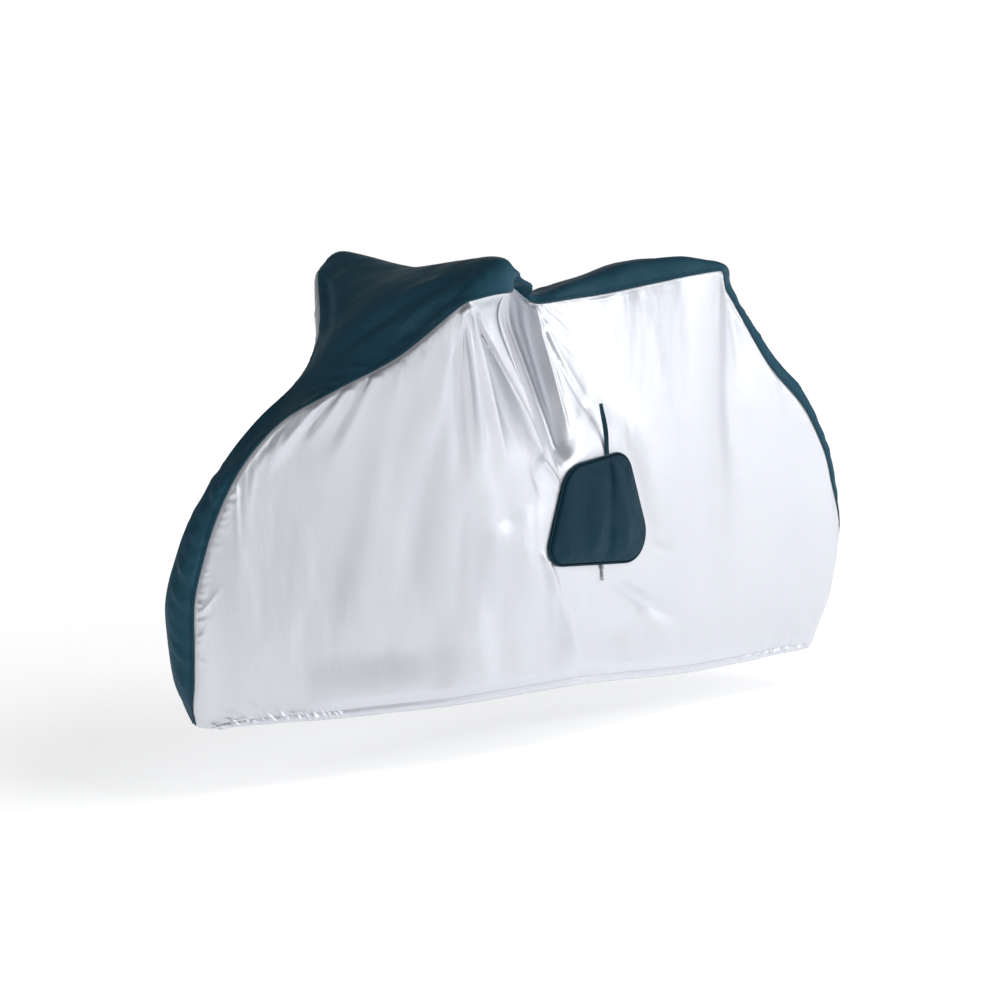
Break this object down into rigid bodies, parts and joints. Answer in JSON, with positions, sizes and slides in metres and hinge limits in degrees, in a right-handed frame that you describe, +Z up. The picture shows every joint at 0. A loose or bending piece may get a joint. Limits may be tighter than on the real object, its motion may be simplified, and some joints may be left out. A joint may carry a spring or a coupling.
{
  "type": "bicycle cover",
  "caption": "Fitted bicycle cover of light and dark coated cloth, hollow and open below, with a dark top panel, an elastic hem and a stow pouch with a strap on one side.",
  "frame": {"origin": "on the inner face of the top panel, at the middle of its rear crown, where the cover hangs from what it covers", "axes": "+X from the front hem corner to the rear hem corner, +Z up, -Y towards the side that carries the pouch"},
  "size_m": [1.738, 0.676, 1.0092],
  "materials": {
    "light_cloth": "satin, aluminium-coated taffeta",
    "dark_cloth": "plain weave with a soft sheen",
    "dark_webbing": "ribbed matte",
    "zip_metal": "satin nickel"
  },
  "bodies": {
    "root": {"top_panel": "dark_cloth", "side_panel_near": "light_cloth", "side_panel_far": "light_cloth", "pouch_back": "dark_cloth", "pouch_front": "dark_cloth", "pouch_piping": "dark_webbing", "strap_loop": "dark_webbing", "zip_slider": "zip_metal", "zip_puller": "zip_metal"}
  },
  "joints": []
}
